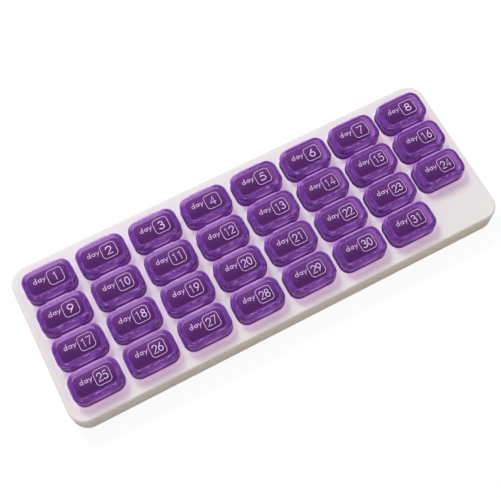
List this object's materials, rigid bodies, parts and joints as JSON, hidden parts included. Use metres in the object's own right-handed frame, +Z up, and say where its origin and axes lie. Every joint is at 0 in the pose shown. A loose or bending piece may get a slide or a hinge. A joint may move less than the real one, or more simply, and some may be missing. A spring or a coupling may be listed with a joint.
{
  "type": "monthly pill organizer",
  "caption": "Low white tray with rows of wells that hold lift-out day pods, each a small translucent violet tub with a flip-top lid hinged at its back edge.",
  "frame": {"origin": "middle of the tray's underside, on the surface it stands on", "axes": "+X along the rows, from the first day of a row to its last; +Y from the front row to the back row; +Z up"},
  "size_m": [0.32, 0.1164, 0.0272],
  "materials": {
    "tray_plastic": "satin",
    "tub_plastic": "gloss, translucent",
    "lid_plastic": "gloss, translucent"
  },
  "bodies": {
    "tray": {"tray": "tray_plastic"},
    "pod_01": {"tub_day_01": "tub_plastic"},
    "lid_01": {"lid_day_01": "lid_plastic"},
    "pod_02": {"tub_day_02": "tub_plastic"},
    "lid_02": {"lid_day_02": "lid_plastic"},
    "pod_03": {"tub_day_03": "tub_plastic"},
    "lid_03": {"lid_day_03": "lid_plastic"},
    "pod_04": {"tub_day_04": "tub_plastic"},
    "lid_04": {"lid_day_04": "lid_plastic"},
    "pod_05": {"tub_day_05": "tub_plastic"},
    "lid_05": {"lid_day_05": "lid_plastic"},
    "pod_06": {"tub_day_06": "tub_plastic"},
    "lid_06": {"lid_day_06": "lid_plastic"},
    "pod_07": {"tub_day_07": "tub_plastic"},
    "lid_07": {"lid_day_07": "lid_plastic"},
    "pod_08": {"tub_day_08": "tub_plastic"},
    "lid_08": {"lid_day_08": "lid_plastic"},
    "pod_09": {"tub_day_09": "tub_plastic"},
    "lid_09": {"lid_day_09": "lid_plastic"},
    "pod_10": {"tub_day_10": "tub_plastic"},
    "lid_10": {"lid_day_10": "lid_plastic"},
    "pod_11": {"tub_day_11": "tub_plastic"},
    "lid_11": {"lid_day_11": "lid_plastic"},
    "pod_12": {"tub_day_12": "tub_plastic"},
    "lid_12": {"lid_day_12": "lid_plastic"},
    "pod_13": {"tub_day_13": "tub_plastic"},
    "lid_13": {"lid_day_13": "lid_plastic"},
    "pod_14": {"tub_day_14": "tub_plastic"},
    "lid_14": {"lid_day_14": "lid_plastic"},
    "pod_15": {"tub_day_15": "tub_plastic"},
    "lid_15": {"lid_day_15": "lid_plastic"},
    "pod_16": {"tub_day_16": "tub_plastic"},
    "lid_16": {"lid_day_16": "lid_plastic"},
    "pod_17": {"tub_day_17": "tub_plastic"},
    "lid_17": {"lid_day_17": "lid_plastic"},
    "pod_18": {"tub_day_18": "tub_plastic"},
    "lid_18": {"lid_day_18": "lid_plastic"},
    "pod_19": {"tub_day_19": "tub_plastic"},
    "lid_19": {"lid_day_19": "lid_plastic"},
    "pod_20": {"tub_day_20": "tub_plastic"},
    "lid_20": {"lid_day_20": "lid_plastic"},
    "pod_21": {"tub_day_21": "tub_plastic"},
    "lid_21": {"lid_day_21": "lid_plastic"},
    "pod_22": {"tub_day_22": "tub_plastic"},
    "lid_22": {"lid_day_22": "lid_plastic"},
    "pod_23": {"tub_day_23": "tub_plastic"},
    "lid_23": {"lid_day_23": "lid_plastic"},
    "pod_24": {"tub_day_24": "tub_plastic"},
    "lid_24": {"lid_day_24": "lid_plastic"},
    "pod_25": {"tub_day_25": "tub_plastic"},
    "lid_25": {"lid_day_25": "lid_plastic"},
    "pod_26": {"tub_day_26": "tub_plastic"},
    "lid_26": {"lid_day_26": "lid_plastic"},
    "pod_27": {"tub_day_27": "tub_plastic"},
    "lid_27": {"lid_day_27": "lid_plastic"},
    "pod_28": {"tub_day_28": "tub_plastic"},
    "lid_28": {"lid_day_28": "lid_plastic"},
    "pod_29": {"pod_day_29": "tub_plastic"},
    "pod_30": {"pod_day_30": "tub_plastic"},
    "pod_31": {"pod_day_31": "tub_plastic"}
  },
  "joints": [
    {"name": "pod_01_lift", "type": "slide", "parent": "tray", "child": "pod_01", "axis": [0, 0, 1], "range_m": [0, 0.03]},
    {"name": "lid_01_hinge", "type": "hinge", "parent": "pod_01", "child": "lid_01", "pos_m": [-0.13492, 0.04908, 0.0248], "axis": [-1, 0, 0], "range_deg": [0, 90]},
    {"name": "pod_02_lift", "type": "slide", "parent": "tray", "child": "pod_02", "axis": [0, 0, 1], "range_m": [0, 0.03]},
    {"name": "lid_02_hinge", "type": "hinge", "parent": "pod_02", "child": "lid_02", "pos_m": [-0.09638, 0.04908, 0.0248], "axis": [-1, 0, 0], "range_deg": [0, 90]},
    {"name": "pod_03_lift", "type": "slide", "parent": "tray", "child": "pod_03", "axis": [0, 0, 1], "range_m": [0, 0.03]},
    {"name": "lid_03_hinge", "type": "hinge", "parent": "pod_03", "child": "lid_03", "pos_m": [-0.05783, 0.04908, 0.0248], "axis": [-1, 0, 0], "range_deg": [0, 90]},
    {"name": "pod_04_lift", "type": "slide", "parent": "tray", "child": "pod_04", "axis": [0, 0, 1], "range_m": [0, 0.03]},
    {"name": "lid_04_hinge", "type": "hinge", "parent": "pod_04", "child": "lid_04", "pos_m": [-0.01928, 0.04908, 0.0248], "axis": [-1, 0, 0], "range_deg": [0, 90]},
    {"name": "pod_05_lift", "type": "slide", "parent": "tray", "child": "pod_05", "axis": [0, 0, 1], "range_m": [0, 0.03]},
    {"name": "lid_05_hinge", "type": "hinge", "parent": "pod_05", "child": "lid_05", "pos_m": [0.01928, 0.04908, 0.0248], "axis": [-1, 0, 0], "range_deg": [0, 90]},
    {"name": "pod_06_lift", "type": "slide", "parent": "tray", "child": "pod_06", "axis": [0, 0, 1], "range_m": [0, 0.03]},
    {"name": "lid_06_hinge", "type": "hinge", "parent": "pod_06", "child": "lid_06", "pos_m": [0.05783, 0.04908, 0.0248], "axis": [-1, 0, 0], "range_deg": [0, 90]},
    {"name": "pod_07_lift", "type": "slide", "parent": "tray", "child": "pod_07", "axis": [0, 0, 1], "range_m": [0, 0.03]},
    {"name": "lid_07_hinge", "type": "hinge", "parent": "pod_07", "child": "lid_07", "pos_m": [0.09638, 0.04908, 0.0248], "axis": [-1, 0, 0], "range_deg": [0, 90]},
    {"name": "pod_08_lift", "type": "slide", "parent": "tray", "child": "pod_08", "axis": [0, 0, 1], "range_m": [0, 0.03]},
    {"name": "lid_08_hinge", "type": "hinge", "parent": "pod_08", "child": "lid_08", "pos_m": [0.13492, 0.04908, 0.0248], "axis": [-1, 0, 0], "range_deg": [0, 90]},
    {"name": "pod_09_lift", "type": "slide", "parent": "tray", "child": "pod_09", "axis": [0, 0, 1], "range_m": [0, 0.03]},
    {"name": "lid_09_hinge", "type": "hinge", "parent": "pod_09", "child": "lid_09", "pos_m": [-0.13492, 0.02396, 0.0248], "axis": [-1, 0, 0], "range_deg": [0, 90]},
    {"name": "pod_10_lift", "type": "slide", "parent": "tray", "child": "pod_10", "axis": [0, 0, 1], "range_m": [0, 0.03]},
    {"name": "lid_10_hinge", "type": "hinge", "parent": "pod_10", "child": "lid_10", "pos_m": [-0.09638, 0.02396, 0.0248], "axis": [-1, 0, 0], "range_deg": [0, 90]},
    {"name": "pod_11_lift", "type": "slide", "parent": "tray", "child": "pod_11", "axis": [0, 0, 1], "range_m": [0, 0.03]},
    {"name": "lid_11_hinge", "type": "hinge", "parent": "pod_11", "child": "lid_11", "pos_m": [-0.05783, 0.02396, 0.0248], "axis": [-1, 0, 0], "range_deg": [0, 90]},
    {"name": "pod_12_lift", "type": "slide", "parent": "tray", "child": "pod_12", "axis": [0, 0, 1], "range_m": [0, 0.03]},
    {"name": "lid_12_hinge", "type": "hinge", "parent": "pod_12", "child": "lid_12", "pos_m": [-0.01928, 0.02396, 0.0248], "axis": [-1, 0, 0], "range_deg": [0, 90]},
    {"name": "pod_13_lift", "type": "slide", "parent": "tray", "child": "pod_13", "axis": [0, 0, 1], "range_m": [0, 0.03]},
    {"name": "lid_13_hinge", "type": "hinge", "parent": "pod_13", "child": "lid_13", "pos_m": [0.01928, 0.02396, 0.0248], "axis": [-1, 0, 0], "range_deg": [0, 90]},
    {"name": "pod_14_lift", "type": "slide", "parent": "tray", "child": "pod_14", "axis": [0, 0, 1], "range_m": [0, 0.03]},
    {"name": "lid_14_hinge", "type": "hinge", "parent": "pod_14", "child": "lid_14", "pos_m": [0.05783, 0.02396, 0.0248], "axis": [-1, 0, 0], "range_deg": [0, 90]},
    {"name": "pod_15_lift", "type": "slide", "parent": "tray", "child": "pod_15", "axis": [0, 0, 1], "range_m": [0, 0.03]},
    {"name": "lid_15_hinge", "type": "hinge", "parent": "pod_15", "child": "lid_15", "pos_m": [0.09638, 0.02396, 0.0248], "axis": [-1, 0, 0], "range_deg": [0, 90]},
    {"name": "pod_16_lift", "type": "slide", "parent": "tray", "child": "pod_16", "axis": [0, 0, 1], "range_m": [0, 0.03]},
    {"name": "lid_16_hinge", "type": "hinge", "parent": "pod_16", "child": "lid_16", "pos_m": [0.13492, 0.02396, 0.0248], "axis": [-1, 0, 0], "range_deg": [0, 90]},
    {"name": "pod_17_lift", "type": "slide", "parent": "tray", "child": "pod_17", "axis": [0, 0, 1], "range_m": [0, 0.03]},
    {"name": "lid_17_hinge", "type": "hinge", "parent": "pod_17", "child": "lid_17", "pos_m": [-0.13492, -0.00116, 0.0248], "axis": [-1, 0, 0], "range_deg": [0, 90]},
    {"name": "pod_18_lift", "type": "slide", "parent": "tray", "child": "pod_18", "axis": [0, 0, 1], "range_m": [0, 0.03]},
    {"name": "lid_18_hinge", "type": "hinge", "parent": "pod_18", "child": "lid_18", "pos_m": [-0.09638, -0.00116, 0.0248], "axis": [-1, 0, 0], "range_deg": [0, 90]},
    {"name": "pod_19_lift", "type": "slide", "parent": "tray", "child": "pod_19", "axis": [0, 0, 1], "range_m": [0, 0.03]},
    {"name": "lid_19_hinge", "type": "hinge", "parent": "pod_19", "child": "lid_19", "pos_m": [-0.05783, -0.00116, 0.0248], "axis": [-1, 0, 0], "range_deg": [0, 90]},
    {"name": "pod_20_lift", "type": "slide", "parent": "tray", "child": "pod_20", "axis": [0, 0, 1], "range_m": [0, 0.03]},
    {"name": "lid_20_hinge", "type": "hinge", "parent": "pod_20", "child": "lid_20", "pos_m": [-0.01928, -0.00116, 0.0248], "axis": [-1, 0, 0], "range_deg": [0, 90]},
    {"name": "pod_21_lift", "type": "slide", "parent": "tray", "child": "pod_21", "axis": [0, 0, 1], "range_m": [0, 0.03]},
    {"name": "lid_21_hinge", "type": "hinge", "parent": "pod_21", "child": "lid_21", "pos_m": [0.01928, -0.00116, 0.0248], "axis": [-1, 0, 0], "range_deg": [0, 90]},
    {"name": "pod_22_lift", "type": "slide", "parent": "tray", "child": "pod_22", "axis": [0, 0, 1], "range_m": [0, 0.03]},
    {"name": "lid_22_hinge", "type": "hinge", "parent": "pod_22", "child": "lid_22", "pos_m": [0.05783, -0.00116, 0.0248], "axis": [-1, 0, 0], "range_deg": [0, 90]},
    {"name": "pod_23_lift", "type": "slide", "parent": "tray", "child": "pod_23", "axis": [0, 0, 1], "range_m": [0, 0.03]},
    {"name": "lid_23_hinge", "type": "hinge", "parent": "pod_23", "child": "lid_23", "pos_m": [0.09638, -0.00116, 0.0248], "axis": [-1, 0, 0], "range_deg": [0, 90]},
    {"name": "pod_24_lift", "type": "slide", "parent": "tray", "child": "pod_24", "axis": [0, 0, 1], "range_m": [0, 0.03]},
    {"name": "lid_24_hinge", "type": "hinge", "parent": "pod_24", "child": "lid_24", "pos_m": [0.13492, -0.00116, 0.0248], "axis": [-1, 0, 0], "range_deg": [0, 90]},
    {"name": "pod_25_lift", "type": "slide", "parent": "tray", "child": "pod_25", "axis": [0, 0, 1], "range_m": [0, 0.03]},
    {"name": "lid_25_hinge", "type": "hinge", "parent": "pod_25", "child": "lid_25", "pos_m": [-0.13492, -0.02628, 0.0248], "axis": [-1, 0, 0], "range_deg": [0, 90]},
    {"name": "pod_26_lift", "type": "slide", "parent": "tray", "child": "pod_26", "axis": [0, 0, 1], "range_m": [0, 0.03]},
    {"name": "lid_26_hinge", "type": "hinge", "parent": "pod_26", "child": "lid_26", "pos_m": [-0.09638, -0.02628, 0.0248], "axis": [-1, 0, 0], "range_deg": [0, 90]},
    {"name": "pod_27_lift", "type": "slide", "parent": "tray", "child": "pod_27", "axis": [0, 0, 1], "range_m": [0, 0.03]},
    {"name": "lid_27_hinge", "type": "hinge", "parent": "pod_27", "child": "lid_27", "pos_m": [-0.05783, -0.02628, 0.0248], "axis": [-1, 0, 0], "range_deg": [0, 90]},
    {"name": "pod_28_lift", "type": "slide", "parent": "tray", "child": "pod_28", "axis": [0, 0, 1], "range_m": [0, 0.03]},
    {"name": "lid_28_hinge", "type": "hinge", "parent": "pod_28", "child": "lid_28", "pos_m": [-0.01928, -0.02628, 0.0248], "axis": [-1, 0, 0], "range_deg": [0, 90]},
    {"name": "pod_29_lift", "type": "slide", "parent": "tray", "child": "pod_29", "axis": [0, 0, 1], "range_m": [0, 0.03]},
    {"name": "pod_30_lift", "type": "slide", "parent": "tray", "child": "pod_30", "axis": [0, 0, 1], "range_m": [0, 0.03]},
    {"name": "pod_31_lift", "type": "slide", "parent": "tray", "child": "pod_31", "axis": [0, 0, 1], "range_m": [0, 0.03]}
  ]
}
